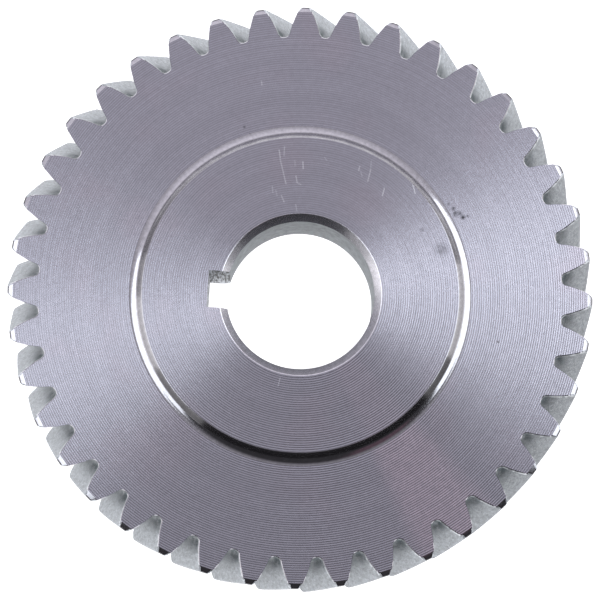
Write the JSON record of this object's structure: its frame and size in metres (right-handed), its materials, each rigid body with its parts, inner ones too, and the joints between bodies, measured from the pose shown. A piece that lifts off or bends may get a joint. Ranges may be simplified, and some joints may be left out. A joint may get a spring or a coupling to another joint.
{
  "type": "helical gear",
  "caption": "Helical gear with a low raised boss on one face, a bevelled bore and a square keyway, made as a toothed ring on a keyed hub.",
  "frame": {"origin": "centre of the back face, on the bore's axis", "axes": "+Z along the bore towards the boss, keyway towards -X"},
  "size_m": [0.079, 0.079, 0.015],
  "materials": {
    "ring_steel": "finely turned faces, matt hobbed teeth",
    "hub_steel": "finely turned faces, smooth bore, broached keyway"
  },
  "bodies": {
    "root": {"toothed_ring": "ring_steel", "keyed_hub": "hub_steel"}
  },
  "joints": []
}
